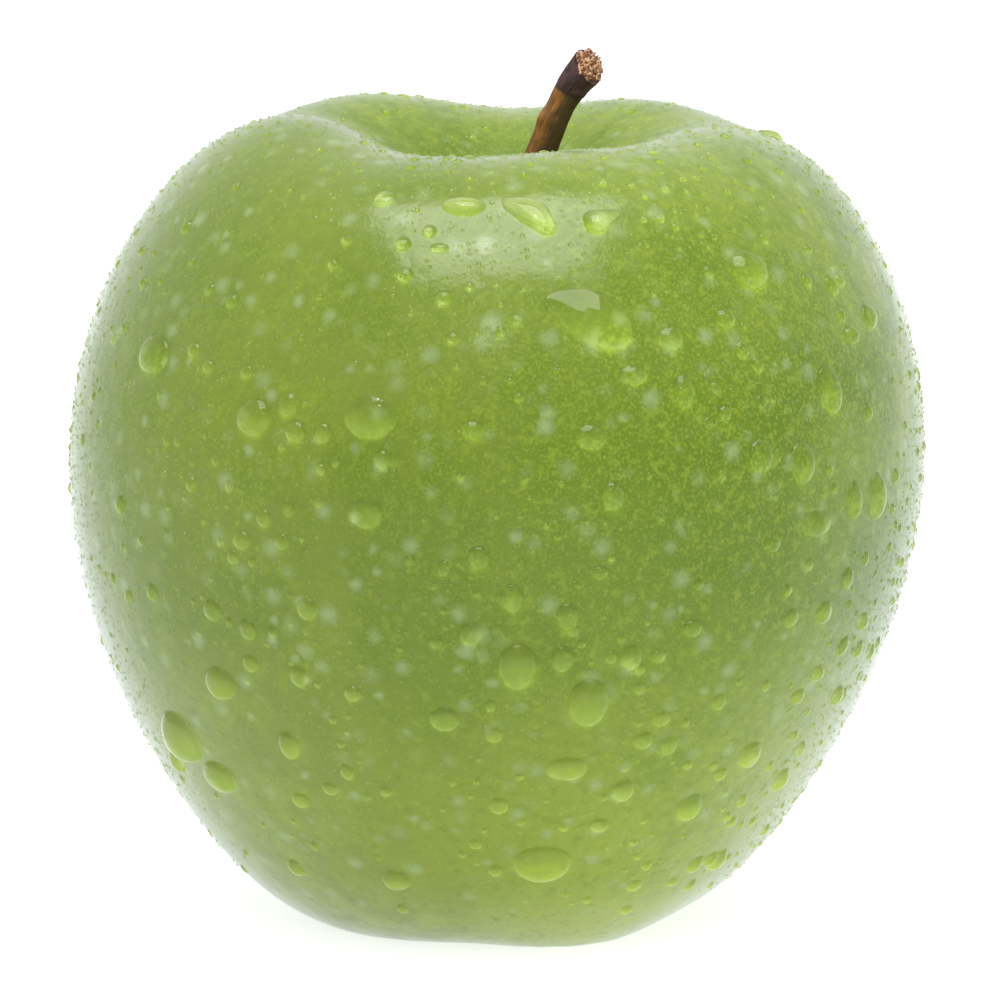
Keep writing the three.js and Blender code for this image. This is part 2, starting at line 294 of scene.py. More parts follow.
def compass(degrees):
    """The level direction at this turn from +X."""
    turn = math.radians(degrees)
    return (math.cos(turn), math.sin(turn), 0.0)


# %% [markdown]
# Colours are written as screen values from 0 to 255. Shaders count in linear light, so every colour
# goes through the screen's curve once, here.

# %% Colours
def paint(red, green, blue):
    """A screen colour as linear light."""
    def linear(value):
        c = value / 255
        return c / 12.92 if c <= 0.04045 else ((c + 0.055) / 1.055) ** 2.4
    return (linear(red), linear(green), linear(blue), 1.0)


def blend(net, factor, first, second):
    return net.add("ShaderNodeMix", {"Factor": factor, "A": first, "B": second}, data_type="RGBA")


print("screen grey 128 is", round(paint(128, 128, 128)[0], 3), "in linear light")

# %% [markdown]
# ## The skin's colour
# A green apple isn't one green. Faint streaks run from the stem to the eye, the shoulders are paler,
# the base is painted paler to stand for light from the table below, and pale dots (lenticels, the
# skin's breathing pores) are scattered all over. One side and the stem cavity get painted shade. The
# streaks need a coordinate that follows the fruit: the direction away from the core, which changes
# only round the apple, with a little height mixed in. The dots come from a Voronoi pattern in space:
# where its cells' centres lie near the skin, a soft dot shows. Where a film of water lies on the
# shoulders, the surface is smoother and mirrors more, which gives the highlight its clear edge.

# %% Skin material
SKIN_DEEP = paint(82, 107, 0)
SKIN_FRESH = paint(103, 122, 26)
SKIN_PALE = paint(132, 149, 40)
# Painted light at the foot, standing for the glowing table below.
SKIN_PAINTED_UNDERLIGHT = paint(186, 196, 118)
SKIN_DOT = paint(140, 158, 116)
# Painted shade for one side of the fruit.
SKIN_PAINTED_SHADE = paint(94, 110, 28)
SKIN_RUSSET = paint(140, 120, 66)
STREAK_SPREAD = 3.0           # how many streaks go round
DOT_SPACING = 2.4             # millimetres between the cells that may hold a dot
DEEP_SIDE = compass(292)      # greener than the rest
# The side that gets painted shade.
PAINTED_SHADE_SIDE = compass(215)
WET_SIDE = compass(252)       # where the shoulder is wettest


def skin_material():
    material, net = material_named("apple_skin")
    spot = shaded_spot(net)
    x, y, z = net.parts(spot)
    from_core = net.join(net.minus(x, CORE.x), net.minus(y, CORE.y), 0.0)
    around = net.vector("NORMALIZE", from_core)
    radius = net.vector("LENGTH", from_core, out="Value")
    ax, ay, _ = net.parts(around)

    def wrapped(spread, height):
        """A coordinate that runs round the fruit and closes on itself."""
        return net.join(net.times(ax, spread), net.times(ay, spread), height)

    def side(middle, start):
        """1 where the skin faces middle, 0 where their cosine is start or less."""
        return net.ramp(net.dot(around, middle), start, 1.0)

    streak = net.noise(wrapped(STREAK_SPREAD, net.times(z, 0.018)), 2.0, 3.0)
    cloud = net.noise(spot, 0.07, 2.0)
    mottle = net.noise(spot, 0.34, 3.0)
    grain = net.noise(spot, 3.4, 1.0)
    mix = net.plus(net.times(streak, 0.32), net.times(cloud, 0.48), net.times(mottle, 0.20))
    green = blend(net, net.ramp(mix, 0.43, 0.57), SKIN_DEEP, SKIN_FRESH)
    deep_side = net.times(side(DEEP_SIDE, 0.76), net.bell(z, 46.0, 20.0), 0.85)
    green = blend(net, deep_side, green, SKIN_DEEP)

    # Paler towards the crown. Towards the base the paleness is painted light from the table below.
    crown = net.ramp(z, 56.0, 76.0, 0.0, 0.16)
    base = net.ramp(z, 36.0, 4.0, 0.0, 0.85)
    ends = net.times(net.plus(crown, base), net.ramp(mottle, 0.25, 0.75, 0.75, 1.15))
    green = blend(net, ends, green, SKIN_PALE)
    # Paler still at the very foot: painted light from below.
    green = blend(net, net.ramp(z, 9.0, 0.0, 0.0, 0.55), green, SKIN_PAINTED_UNDERLIGHT)
    # Darker, deeper green down in the stem cavity: painted shade.
    painted_cavity_shade = net.times(net.ramp(radius, 15.0, 6.0), net.ramp(z, 52.0, 58.0), 0.65)
    green = blend(net, painted_cavity_shade, green, SKIN_DEEP)

    fleck = net.noise(spot, 1.1, 3.0)
    green = blend(net, net.ramp(fleck, 0.50, 0.72, 0.0, 0.40), green, SKIN_PALE)
    green = blend(net, net.ramp(fleck, 0.48, 0.28, 0.0, 0.35), green, SKIN_DEEP)
    specks = net.math("MULTIPLY_ADD", net.bell(z, 55.0, 14.0), 0.28, 0.20)
    specks = net.times(net.ramp(grain, 0.45, 0.72), specks)
    green = blend(net, specks, green, SKIN_PALE)
    # Painted shade on one side of the fruit, made patchy by the mottling.
    painted_side_shade = net.times(side(PAINTED_SHADE_SIDE, 0.0), net.ramp(mottle, 0.30, 0.70, 0.35, 0.75))
    green = blend(net, painted_side_shade, green, SKIN_PAINTED_SHADE)

    bent = net.vector("ADD", spot, net.stretch(net.noise(spot, 1.1, 0.0, "Color"), 0.45))
    cells = net.add("ShaderNodeTexVoronoi", {"Vector": bent, "Scale": 1 / DOT_SPACING}).node.outputs
    chance, size, _ = net.parts(cells["Color"])
    reach = net.ramp(size, 0.0, 1.0, 0.28, 0.58)
    dot = net.minus(1.0, net.ramp(cells["Distance"], 0.0, reach))
    dot = net.times(dot, net.ramp(chance, 0.0, 0.8, 0.06, 0.50))
    green = blend(net, dot, green, SKIN_DOT)

    near_stem = net.times(net.ramp(radius, 7.5, 1.5), net.ramp(z, 58.0, 62.0))
    scratch = net.noise(wrapped(9.0, z), 1.0, 1.0)
    russet = net.times(near_stem, net.ramp(scratch, 0.35, 0.65), 0.7)
    green = blend(net, russet, green, SKIN_RUSSET)

    wave = net.noise(spot, 0.40, 2.0)
    height = net.math("MULTIPLY_ADD", wave, 2.4, net.times(grain, 0.35))
    film = net.ramp(net.plus(z, net.times(mottle, 20.0)), 58.0, 72.0)
    film = net.times(film, net.ramp(side(WET_SIDE, 0.70), 0.0, 1.0, 0.66, 1.0))
    surface(net, Base_Color=green, IOR=1.38, Normal=relief(net, 0.30, 0.10, height),
            Roughness=net.ramp(film, 0.0, 1.0, 0.32, 0.19),
            Specular_IOR_Level=net.ramp(film, 0.0, 1.0, 0.44, 0.64),
            Sheen_Weight=net.ramp(z, 50.0, 20.0, 0.34, 0.88), Sheen_Roughness=0.33,
            Sheen_Tint=(0.90, 0.92, 1.0, 1.0))
    return material


SKIN = skin_material()
print("skin material:", len(SKIN.node_tree.nodes), "nodes")

# %% [markdown]
# ## The skin's shape
# Seen in half section the fruit is one smooth curve: down into the stem cavity, over the shoulders,
# round the cheeks and up again into the eye. A cubic B-spline through a few points gives it. Turned
# like a pot it would look machined, so low ribs, uneven shoulders and five feet swell out of it.

# %% The half section
OUTLINE = [
    (0.0, 62.0), (2.6, 63.2), (6.6, 67.6), (11.5, 71.6), (17.0, 74.0), (23.4, 73.9),
    (30.0, 70.8), (36.0, 62.8), (39.8, 51.5), (40.3, 40.0), (37.6, 27.0), (31.6, 14.8),
    (25.0, 5.4), (19.0, 0.5), (13.8, -0.6), (9.5, 2.2), (6.0, 6.0), (0.0, 7.6),
]


def outline_points(count):
    """Points of the half section from stem to eye, at even steps of the spline."""
    points = np.array([OUTLINE[1], *OUTLINE, OUTLINE[-2]])
    points[[0, -1], 0] *= -1               # the end points are mirrored in the core line
    u = np.linspace(0, len(OUTLINE) - 1, count)
    i = np.minimum(u.astype(int), len(OUTLINE) - 2)
    t = (u - i)[:, None]
    weights = ((1 - t) ** 3, 3 * t ** 3 - 6 * t ** 2 + 4, -3 * t ** 3 + 3 * t ** 2 + 3 * t + 1, t ** 3)
    return sum(w * points[i + k] for k, w in enumerate(weights)) / 6


SKIN_RINGS = 190
SKIN_SECTORS = 340
WELD = 0.0005                 # millimetres; closes the seam of the turned grid
half = outline_points(SKIN_RINGS + 1)
skin = line_object("apple_skin", [(r * MM, 0, h * MM) for r, h in half])
print("half section: widest and highest", half.max(0).round(1), "mm; lowest", half[:, 1].min().round(1))

# %% [markdown]
# Each swelling is a raised cosine round the fruit: full at its own turn, gone half a width away. It
# is a small node group of its own, because the skin needs fifteen of them.

# %% One swelling, as a node group
SWELLING = bpy.data.node_groups.new("Swelling", "GeometryNodeTree")
for label in ("Turn", "Centre", "Strength", "Half width"):
    SWELLING.interface.new_socket(label, in_out="INPUT", socket_type="NodeSocketFloat")
SWELLING.interface.new_socket("Rise", in_out="OUTPUT", socket_type="NodeSocketFloat")


def fill_swelling():
    net = Net(SWELLING)
    given = SWELLING.nodes.new("NodeGroupInput").outputs
    away = net.math("WRAP", net.minus(given["Turn"], given["Centre"]), 180.0, -180.0)
    share = net.math("MINIMUM", net.math("DIVIDE", net.math("ABSOLUTE", away), given["Half width"]), 1.0)
    wave = net.math("COSINE", net.times(share, math.pi))
    rise = net.times(given["Strength"], net.math("MULTIPLY_ADD", wave, 0.5, 0.5))
    SWELLING.links.new(rise, SWELLING.nodes.new("NodeGroupOutput").inputs["Rise"])


fill_swelling()
print("swelling group:", len(SWELLING.nodes), "nodes")

# %% The skin, turned and swollen
RIBS = [(298, 1.0, 36), (8, 0.8, 36), (78, 1.0, 36), (146, 0.8, 36), (198, 1.3, 44)]
SHOULDERS = [(50, 1.4, 40), (132, 2.0, 48), (198, 2.3, 46), (338, 1.2, 44), (292, 0.6, 34)]
FEET = [(300, 0.8, 38), (10, 0.6, 36), (80, 0.7, 36), (150, 0.6, 36), (224, 0.35, 40)]


def skin_tree():
    net = Shaper("Skin", sectors=SKIN_SECTORS, rings=SKIN_RINGS, core_foot=CORE * MM,
                 core_height=75 * MM, core_radius=8 * MM, lean=1.2 * MM, bow=0.15 * MM,
                 crown_radius=20 * MM, crown_width=11 * MM, sole_radius=17 * MM, sole_width=8 * MM,
                 rib_above=0.006, rib_below=0.020, dimple_depth=0.12 * MM, material=SKIN)
    wires = {"Size X": 1.0, "Size Y": 1.0, "Vertices X": net.plus(net.sectors, 1.0),
             "Vertices Y": net.plus(net.rings, 1.0)}
    grid = net.add("GeometryNodeMeshGrid", wires)
    uv = net.socket(grid.node.outputs, "UV Map")
    grid = net.store(grid, "skin_uv", uv, "FLOAT2", "CORNER")
    gx, gy, _ = net.parts(net.position)
    turn = net.times(net.plus(gx, 0.5), 360.0)
    along = net.minus(0.5, gy)

    index = net.math("ROUND", net.times(along, net.rings))
    wires = {"Geometry": net.start, "Value": net.position, "Index": index}
    radius, _, height = net.parts(net.add("GeometryNodeSampleIndex", wires, data_type="FLOAT_VECTOR"))

    def swell(swellings):
        total = 0.0
        for centre, strength, half_width in swellings:
            wires = {"Turn": turn, "Centre": centre, "Strength": strength, "Half width": half_width}
            total = net.plus(total, net.add("GeometryNodeGroup", wires, node_tree=SWELLING))
        return total

    upper = net.math("LESS_THAN", along, 0.5)
    rib = net.ramp(along, 0.45, 0.80, net.rib_above, net.rib_below)
    wide = net.times(radius, net.math("MULTIPLY_ADD", rib, swell(RIBS), 1.0))
    crown = net.times(net.bell(radius, net.crown_radius, net.crown_width), swell(SHOULDERS))
    sole = net.times(net.bell(radius, net.sole_radius, net.sole_width), swell(FEET))
    lower = net.times(sole, net.minus(upper, 1.0))
    rise = net.plus(net.times(crown, upper), lower)
    rise = net.times(rise, MM, net.ramp(radius, 0.0, net.core_radius))
    z = net.plus(height, rise)

    up = net.math("DIVIDE", z, net.core_height)
    bend = net.math("POWER", net.math("MULTIPLY_ADD", up, 2.0, -1.0), 2.0)
    sideways = net.plus(net.times(net.lean, up), net.times(net.bow, bend))
    angle = net.math("RADIANS", turn)
    foot_x, foot_y, _ = net.parts(net.core_foot)
    x = net.plus(net.math("MULTIPLY_ADD", wide, net.math("COSINE", angle), foot_x), sideways)
    y = net.math("MULTIPLY_ADD", wide, net.math("SINE", angle), foot_y)
    whole = net.move(grid, position=net.join(x, y, net.math("MAXIMUM", z, 0.0)))
    whole = net.add("GeometryNodeMergeByDistance", {"Geometry": whole, "Distance": WELD * MM})

    dimple = net.minus(net.noise(net.position, 0.09 / MM, 2.0), 1.0)
    _, _, level = net.parts(net.position)
    fade = net.ramp(level, 0.5 * MM, 4 * MM)
    depth = net.times(dimple, fade, net.dimple_depth)
    net.finish(net.move(whole, offset=net.stretch(net.normal, depth)), net.material)
    return net


run(skin_tree(), skin, SKIN)
heights = [v.co.z for v in skin.data.vertices]
print(f"skin from {1000 * min(heights):.2f} to {1000 * max(heights):.2f} mm")
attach(skin, "root")
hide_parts("apple")

# %% [markdown]
# ## Water
# A drop on waxy skin is a low dome that sags a little downhill. It is a closed shape: the clear
# dome on top, and a root that dips into the skin, so that no gap shows at its edge. Clear water
# needs full transmission, no roughness and its own refraction, 1.33. A real drop gathers light on
# the skin at its lower edge. Here light passes straight through, and an attribute called fall, low
# at the upper edge and high at the lower, makes it weaker or stronger on the way.

# %% Water material and the patterns of the drops
WATER_TINT = (0.94, 1.0, 0.45, 1.0)       # green light from the skin collects in a drop
FINE_TINT = (0.99, 1.0, 0.88, 1.0)        # less of it in a speck
LENS = (0.80, 1.55)           # light let through at a drop's upper edge, and gathered at its lower
FINE_LENS = (0.92, 1.12)


def water_material(name, tint, lens):
    material, net = material_named(name)
    clear = surface(net, Base_Color=tint, Roughness=0.0, IOR=1.333, Transmission_Weight=1.0)
    path = net.tree.nodes.new("ShaderNodeLightPath").outputs
    to_lamp = net.math("MAXIMUM", path["Is Shadow Ray"], path["Is Diffuse Ray"])
    gather = net.ramp(attribute(net, "fall"), 0.1, 0.95, *lens)
    through = net.add("ShaderNodeBsdfTransparent", {"Color": net.join(gather, gather, gather)})
    net.tree.links.new(net.add("ShaderNodeMixShader", {0: to_lamp, 1: clear, 2: through}),
                       net.tree.nodes["Material Output"].inputs["Surface"])
    return material


WATER = water_material("clear_water", WATER_TINT, LENS)
FINE_WATER = water_material("fine_water", FINE_TINT, FINE_LENS)


DROP_ROOT = [(0.97, -0.45), (1.0, -0.05)]         # radius and height of its rings, from below
SPECK_ROOT = [(1.0, -0.15)]


def dome(name, sides, rings, sag, steep=0.72, corner=2.0, narrow=1.0, taper=0.0, shear=0.0, glow=1.0):
    """A drop of unit radius and height. +Y is downhill; its root ends below zero.

    It may sag, bulge (steep), be squarish (corner), slim (narrow), drawn out (taper) or slanted
    (shear), and glow says how unevenly it gathers light.
    """
    levels = list(DROP_ROOT if rings else SPECK_ROOT)
    for i in range(rings):
        r = math.cos((i + 0.3) / rings * math.pi / 2)
        levels.append((r, (1 - r ** 2.2) ** steep))
    points = []
    for r, h in levels:
        for s in range(sides):
            cosine, sine = math.cos(math.tau * s / sides), math.sin(math.tau * s / sides)
            reach = r / (abs(cosine) ** corner + abs(sine) ** corner) ** (1 / corner)
            y = reach * sine
            x = reach * cosine * (narrow - taper * y) - shear * y
            points.append((x, y, h * (1 + sag * y) if h > 0 else h))
    points += [(0, 0, levels[0][1]), (0, 0, 1.0)]
    faces = []
    for k in range(len(levels) - 1):
        for s in range(sides):
            a, b = k * sides + s, k * sides + (s + 1) % sides
            faces.append((a, b, b + sides, a + sides))
    top = (len(levels) - 1) * sides
    for s in range(sides):
        after = (s + 1) % sides
        faces.append((after, s, len(points) - 2))
        faces.append((top + s, top + after, len(points) - 1))
    made = object_from(name, points, (), faces)
    fall = [0.3 + (y / 2 + 0.2) * glow for _, y, _ in points]
    made.data.attributes.new("fall", "FLOAT", "POINT").data.foreach_set("value", fall)
    return made


BIG_DOME = dome("pattern_big", 28, 8, 0.22)
SOFT_DOME = dome("pattern_soft", 32, 8, 0.15, steep=1.05)
FILM_DOME = dome("pattern_film", 56, 10, 0.35, corner=2.4, narrow=0.88, taper=0.20, shear=0.42, glow=0.8)
TONGUE_DOME = dome("pattern_tongue", 40, 9, 0.25, corner=2.6, narrow=0.75, taper=0.28, shear=0.60)
HOOK_DOME = dome("pattern_hook", 40, 9, 0.25, corner=2.6, narrow=0.80, taper=0.38, shear=-0.40)
SHAPES = (BIG_DOME, SOFT_DOME, FILM_DOME, TONGUE_DOME, HOOK_DOME)
SMALL_DOME = dome("pattern_small", 10, 3, 0.12)
SPECK_DOME = dome("pattern_speck", 5, 0, 0.0)
PATTERNS = SHAPES + (SMALL_DOME, SPECK_DOME)
print("faces per drop:", [len(d.data.polygons) for d in PATTERNS])

# %% [markdown]
# The drops that catch the eye have places of their own on the near side. On the other sides about
# as many are scattered by a rule: equal steps of the golden ratio round the fruit, with seeded
# draws for place and size. Each is a mark on the skin: turn, place along the outline, and sizes.

# %% Marks of the larger drops
DROPS = [                 # turn, along, width, length, height, and how irregular its edge is
    (215, 0.446, 4.6, 3.8, 0.9, 0.3), (236, 0.467, 3.7, 3.5, 0.8, 0.3), (214, 0.621, 5.6, 5.6, 1.4, 0.2),
    (228, 0.589, 3.6, 3.5, 0.9, 0.3), (220, 0.638, 4.4, 3.5, 0.9, 0.3), (273, 0.572, 3.6, 4.7, 1.1, 0.2),
    (283, 0.589, 3.9, 5.0, 1.2, 0.2), (272, 0.542, 2.2, 2.7, 0.6, 0.2), (279, 0.675, 5.4, 4.6, 1.1, 0.3),
    (281, 0.620, 3.8, 2.7, 0.6, 0.4), (251, 0.690, 2.8, 2.5, 0.7, 0.2), (313, 0.623, 2.6, 2.9, 0.7, 0.2),
    (304, 0.647, 2.6, 3.2, 0.7, 0.2), (320, 0.561, 2.4, 2.4, 0.6, 0.2), (316, 0.520, 4.0, 2.6, 0.7, 0.3),
    (313, 0.491, 3.2, 4.0, 0.9, 0.2), (306, 0.485, 2.9, 3.2, 0.7, 0.2), (324, 0.513, 2.3, 3.6, 0.7, 0.2),
    (330, 0.514, 2.8, 4.4, 0.8, 0.2), (320, 0.460, 3.2, 4.6, 0.8, 0.3), (335, 0.432, 2.8, 2.4, 0.6, 0.2),
    (310, 0.397, 4.2, 4.0, 1.0, 0.3), (295, 0.453, 2.1, 3.3, 0.7, 0.2), (294, 0.428, 2.5, 2.3, 0.6, 0.3),
    (283, 0.417, 7.4, 5.8, 0.7, 0.4), (263, 0.345, 4.0, 2.4, 0.6, 0.4), (275, 0.354, 4.6, 4.4, 0.8, 0.5),
    (286, 0.361, 3.6, 2.6, 0.6, 0.6), (263, 0.596, 2.8, 2.5, 0.6, 0.2), (253, 0.506, 3.3, 2.8, 0.5, 0.4),
    (253, 0.463, 4.8, 3.7, 0.5, 0.6), (238, 0.614, 2.2, 3.0, 0.7, 0.2), (288, 0.444, 2.7, 1.9, 0.5, 0.4),
    (282, 0.471, 2.8, 2.2, 0.5, 0.5),
]
FINE_DROPS = [            # smaller ones, which the solid leaves out
    (254, 0.375, 1.5, 1.5, 0.4, 0.3), (258, 0.366, 1.3, 1.4, 0.4, 0.3), (260, 0.377, 1.8, 1.2, 0.4, 0.3),
    (248, 0.340, 1.9, 2.2, 0.4, 0.3), (271, 0.639, 1.8, 1.9, 0.5, 0.2), (270, 0.603, 1.6, 1.7, 0.4, 0.2),
    (313, 0.560, 2.1, 1.9, 0.5, 0.2), (308, 0.525, 1.9, 1.8, 0.5, 0.2), (237, 0.643, 2.0, 1.7, 0.5, 0.2),
]
# Most drops are round. These have begun to run, or lie flat, and take another pattern.
RUNNING = {(283, 0.417): FILM_DOME, (275, 0.354): TONGUE_DOME, (286, 0.361): HOOK_DOME,
           (253, 0.463): SOFT_DOME, (253, 0.506): SOFT_DOME, (288, 0.444): SOFT_DOME,
           (282, 0.471): SOFT_DOME, (263, 0.345): SOFT_DOME}
SCATTERED = 40
SCATTER_TURN = (370, 530)
SCATTER_ALONG = (0.31, 0.70)
SCATTER_WIDTH = (2.2, 5.0)
SCATTER_STRETCH = (0.90, 1.25)            # length over width
SCATTER_RISE = 0.24                       # height over width
SCATTER_SEED = 20266
GOLDEN = 0.618034


def draws(state):
    """Random numbers from 0 to 1, the same on every run."""
    while True:
        state = (state * 1664525 + 1013904223) % 2 ** 32
        yield state / 2 ** 32


def lerp(first, last, share):
    return first + (last - first) * share


def scattered_drops():
    draw = draws(SCATTER_SEED)
    found = []
    for i in range(SCATTERED):
        turn = lerp(*SCATTER_TURN, i * GOLDEN % 1)
        along = lerp(*SCATTER_ALONG, (i + next(draw)) / SCATTERED)
        width = lerp(*SCATTER_WIDTH, next(draw) ** 2)
        length = width * lerp(*SCATTER_STRETCH, next(draw))
        found.append((turn, along, width, length, width * SCATTER_RISE, 0.25))
    return found


MARKS = DROPS + FINE_DROPS + scattered_drops()
print(len(DROPS) + len(FINE_DROPS), "placed drops;", len(MARKS), "with the scattered ones")

# %% [markdown]
# A mark knows its place only as a turn and a share of the outline, which is what the skin's own UV
# map holds. The node Sample UV Surface looks up the point and the normal there. A dome is set on
# each mark with its height along the normal and its sag pointing downhill, and a noise then bends
# each outline a little, so that no two drops are alike.

# %% Helpers that turn a drop
def upright(net, vector):
    """The rotation that lays Z along a vector."""
    return net.add("FunctionNodeAlignRotationToVector", {"Vector": vector}, axis="Z")


def sagging(net, rotation):
    """A rotation spun about its own Z until Y points downhill."""
    wires = {"Rotation": rotation, "Vector": (0.0, 0.0, -1.0)}
    return net.add("FunctionNodeAlignRotationToVector", wires, axis="Y", pivot_axis="Z")


# %% Larger drops on their marks
def marks_object(name, marks):
    made = object_from(name, [(0, 0, 0)] * len(marks))
    turn, along, width, length, height, uneven = np.array(marks).T
    columns = {
        "home": ("FLOAT_VECTOR", np.stack([turn / 360 % 1, 1 - along, 0 * turn], 1)),
        "size": ("FLOAT_VECTOR", np.stack([width * MM / 2, length * MM / 2, height * MM], 1)),
        "uneven": ("FLOAT", uneven),
        "kind": ("INT", [SHAPES.index(RUNNING.get(mark[:2], BIG_DOME)) for mark in marks]),
    }
    for key, (kind, values) in columns.items():
        column = made.data.attributes.new(key, kind, "POINT")
        column.data.foreach_set("vector" if kind == "FLOAT_VECTOR" else "value", np.ravel(values))
    return made


def drops_tree():
    net = Shaper("Drops on marks", skin=skin, wobble=0.9 * MM, grain=0.42 / MM, material=WATER)
    body = net.object(net.skin)

    def on_skin(value):
        wires = {"Mesh": body, "Value": value, "UV Map": net.stored("skin_uv", "FLOAT_VECTOR"),
                 "Sample UV": net.stored("home", "FLOAT_VECTOR")}
        return net.add("GeometryNodeSampleUVSurface", wires, data_type="FLOAT_VECTOR")

    downhill = sagging(net, upright(net, on_skin(net.normal)))
    size = net.stored("size", "FLOAT_VECTOR")
    placed = net.move(net.start, position=on_skin(net.position))
    kinds = []
    for number, shape in enumerate(SHAPES):
        chosen = net.add("FunctionNodeCompare", {"A": net.stored("kind", "INT"), "B": number},
                         data_type="INT", operation="EQUAL")
        kinds.append(net.instances(placed, net.object(shape), selection=chosen, rotation=downhill,
                                   scale=size))
    drops = net.real(net.merge(*kinds))
    amount = net.times(net.wobble, net.stored("uneven"))
    push = net.stretch(net.shake(net.grain, 1.0), amount)
    net.finish(net.move(drops, offset=push), net.material)
    return net


drops = run(drops_tree(), marks_object("water_drops", MARKS), WATER)

# %% [markdown]
# Between the large drops lie over a thousand small ones, and then a mist of specks that shows mostly
# where the light grazes it. They are far too many to place, so they are sprinkled on the skin:
# Poisson sampling keeps them apart, a slow noise makes some patches wetter than others, the side
# that the rain came from gets more, and all keep clear of the larger drops and of the base.

# %% Helpers for what is sprinkled
def scatter(net, mesh, spacing, crowd, **wires):
    """Points on the faces of a mesh, no two nearer than the spacing."""
    wires = {"Mesh": mesh, "Distance Min": spacing, "Density Max": crowd, "Seed": net.seed,
             **titled(wires)}
    return net.add("GeometryNodeDistributePointsOnFaces", wires, distribute_method="POISSON")


def pick(net, least, most, salt=None):
    """A random number or vector for each item; salt sets one pick apart from the others."""
    kind = "FLOAT_VECTOR" if isinstance(least, tuple) else "FLOAT"
    wires = {"Min": least, "Max": most, "Seed": net.plus(net.seed, salt) if salt else net.seed}
    return net.add("FunctionNodeRandomValue", wires, data_type=kind)


# %% Sprinkled drops and mist
RAIN_SIDE = compass(305)
CLEARANCE = 1.6               # widest radii of a sprinkled drop, kept free round a larger one


def sprinkle_tree(name, pattern, spacing, crowd, least, most, rare, calm, lee, wet_to, flat, seed,
                  material):
    """Domes sprinkled on the skin; spacing and the widths, least to most, are in millimetres.

    A square millimetre gets at most crowd of them, and fewer where the patches' noise is below
    wet_to. A high rare makes wide ones rare, calm makes them smaller on the flanks and the crown,
    lee is the share that the sheltered side gets, and flat is height over radius.
    """
    net = Shaper(name, marks=drops, pattern=pattern, spacing=spacing * MM, crowd=crowd / MM ** 2,
                 least=least * MM / 2, most=most * MM / 2, rare=rare, calm=calm, lee=lee, flat=flat,
                 seed=seed, material=material)
    wires = {"Geometry": net.object(net.marks), "Sample Position": net.position}
    gap = net.add("GeometryNodeProximity", wires, "Distance", target_element="POINTS")
    clear = net.math("GREATER_THAN", gap, net.times(net.most, CLEARANCE))
    _, _, level = net.parts(net.position)
    dry_foot = net.ramp(level, 2.5 * MM, 9 * MM)
    patches = net.ramp(net.noise(net.position, 0.05 / MM, 2.0), 0.38, wet_to, 0.30, 1.0)
    away = net.vector("NORMALIZE", net.vector("MULTIPLY", net.position, (1.0, 1.0, 0.0)))
    rained = net.times(net.ramp(net.dot(away, RAIN_SIDE), 0.1, 0.95, net.lee, 1.0),
                       net.ramp(level, 18 * MM, 55 * MM, net.math("SQRT", net.lee), 1.0))
    wet = net.times(clear, dry_foot, net.times(patches, rained))
    points = scatter(net, net.start, net.spacing, net.crowd, density_factor=wet)
    downhill = sagging(net, net.socket(points.node.outputs, "Rotation"))
    flank = net.math("ABSOLUTE", net.dot(away, (1.0, 0.0, 0.0)))
    chance = net.times(net.math("POWER", pick(net, 0.0, 1.0, 1.0), net.rare),
                       net.ramp(flank, 0.86, 0.99, 1.0, net.calm),
                       net.ramp(level, 62 * MM, 71 * MM, 1.0, net.calm))
    wide = net.math("MULTIPLY_ADD", chance, net.minus(net.most, net.least), net.least)
    size = net.join(wide, net.times(wide, pick(net, 0.85, 1.3, 2.0)),
                    net.times(wide, net.times(net.flat, pick(net, 0.8, 1.2, 3.0))))
    grown = net.instances(points, net.object(net.pattern), rotation=downhill, scale=size)
    net.finish(grown, net.material)
    return net


def sprinkled(name, material, **how):
    piece = in_scene(name, skin.data.copy())
    return run(sprinkle_tree(name, material=material, **how), piece, material)


small_drops = sprinkled("water_small_drops", WATER, pattern=SMALL_DOME, spacing=1.4, crowd=0.46,
                        least=0.5, most=2.3, rare=3.0, calm=0.3, lee=0.40, wet_to=0.60, flat=0.52,
                        seed=4)
mist = sprinkled("water_mist", FINE_WATER, pattern=SPECK_DOME, spacing=0.40, crowd=2.2,
                 least=0.20, most=0.66, rare=1.6, calm=1.0, lee=0.75, wet_to=0.56, flat=0.60, seed=9)
for piece in (drops, small_drops, mist):
    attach(piece, "root")
    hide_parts("apple")

# %% [markdown]
# ## The stem
# The stalk is a tapering rod of wood, bent as it grew, with low ridges along it, a bud scar on one
# side and a torn, fibrous end where it was pulled off the branch. A curve swept with a circle gives
# the rod. The tree keeps the share of the length and the turn round it as attributes, because both
# the ridges and the colours follow them.

# %% Stem material
STEM_DARK = paint(46, 26, 20)
STEM_BROWN = paint(100, 66, 18)
STEM_AMBER = paint(142, 90, 30)
# Painted shade on one side of the stalk.
STEM_PAINTED_SHADE = paint(62, 48, 20)
STEM_COLLAR = paint(68, 42, 44)
STEM_TORN = paint(192, 152, 114)
STEM_GAP = paint(112, 66, 36)


